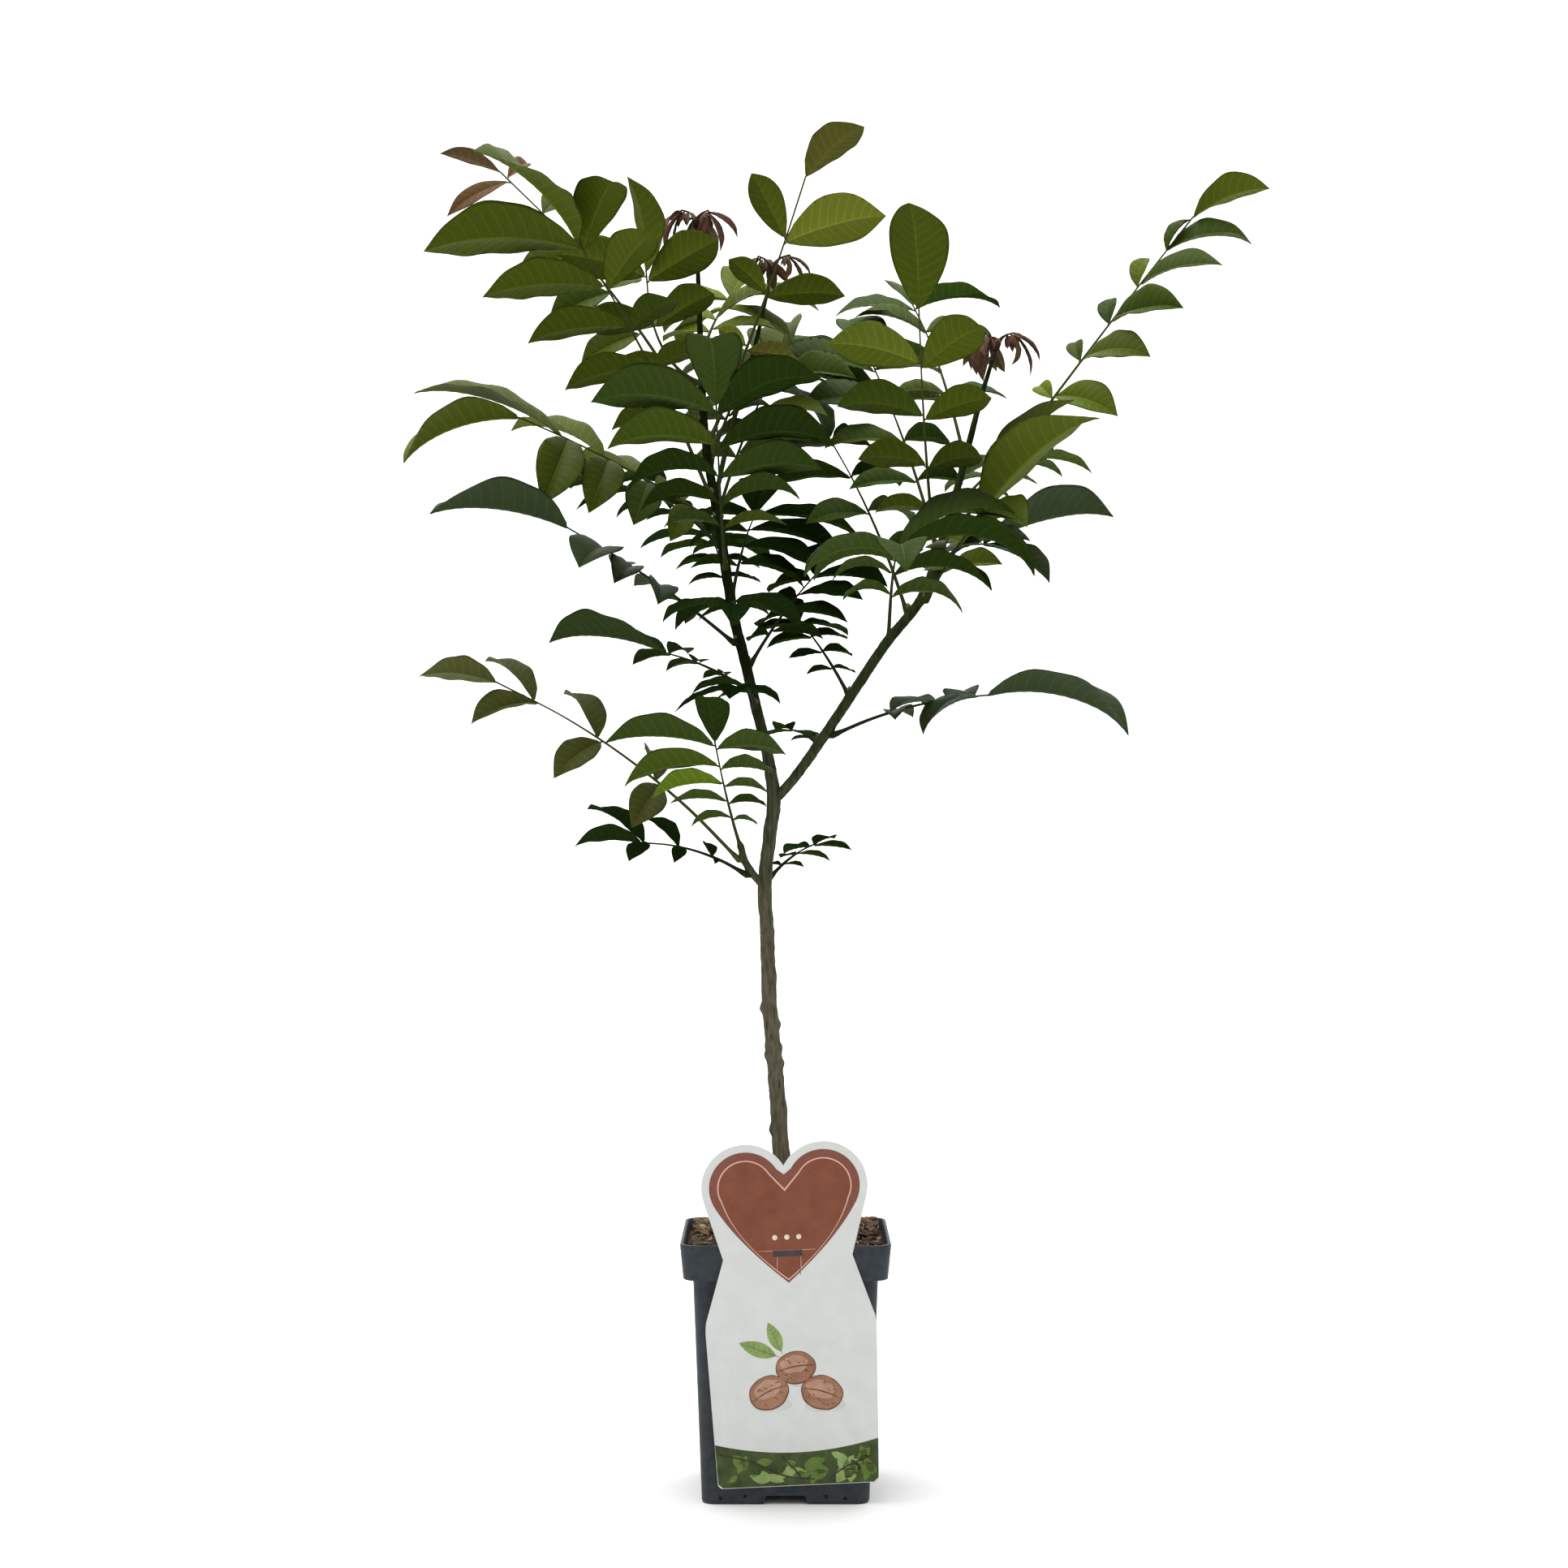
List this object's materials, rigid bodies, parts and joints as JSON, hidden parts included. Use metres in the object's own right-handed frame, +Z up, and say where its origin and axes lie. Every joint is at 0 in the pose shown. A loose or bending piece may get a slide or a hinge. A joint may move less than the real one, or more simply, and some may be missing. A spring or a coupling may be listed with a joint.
{
  "type": "potted walnut tree",
  "caption": "Young walnut tree with a forked slim trunk and long compound leaves, in a square tapering nursery pot with a heart topped plant card hung on its rim.",
  "frame": {"origin": "middle of the underside of the pot", "axes": "+Z up along the trunk, -Y towards the side of the pot where the plant card hangs"},
  "size_m": [0.646, 0.5028, 1.0302],
  "materials": {
    "upper_leaf": "satin",
    "middle_leaf": "satin",
    "lower_leaf": "satin",
    "young_leaf": "satin",
    "bark": "rough",
    "green_bark": "smooth",
    "pot_plastic": "satin",
    "potting_bark": "rough",
    "card_print": "satin"
  },
  "bodies": {
    "root": {"pot": "pot_plastic", "soil": "potting_bark", "plant_card": "card_print", "trunk": "bark", "right_bough": "green_bark", "centre_shoot": "green_bark", "low_spur": "green_bark", "young_tip_left": "young_leaf", "young_tip_centre": "young_leaf", "young_tip_right": "young_leaf", "leaf_upper_left_front": "upper_leaf", "leaf_centre_front": "middle_leaf", "leaf_middle_left": "upper_leaf", "leaf_bough_front": "upper_leaf", "leaf_far_right": "upper_leaf", "leaf_top_centre": "upper_leaf", "leaf_left_long": "lower_leaf", "leaf_low_long": "upper_leaf", "leaf_low_right_long": "lower_leaf", "leaf_right_front": "middle_leaf", "leaf_right": "lower_leaf", "leaf_bough_low_front": "middle_leaf", "leaf_top_left_back": "upper_leaf", "leaf_left_low": "lower_leaf", "leaf_low_short": "lower_leaf", "leaf_low_front": "middle_leaf", "leaf_low_back": "lower_leaf", "leaf_fork_front": "lower_leaf", "leaf_middle_front": "lower_leaf", "leaf_centre_back": "lower_leaf", "leaf_top_left_light": "upper_leaf", "leaf_bough_left_back": "middle_leaf", "leaf_bough_low_back": "lower_leaf", "leaf_middle_right_back": "lower_leaf", "leaf_fork_small": "lower_leaf", "leaf_bough_back": "middle_leaf", "leaf_upper_back_right": "middle_leaf", "leaf_top_back_light": "upper_leaf", "leaf_back_low": "lower_leaf", "leaf_back_left": "lower_leaf", "leaf_back_high": "middle_leaf", "leaf_back_right": "middle_leaf", "leaf_back_right_high": "middle_leaf"}
  },
  "joints": []
}
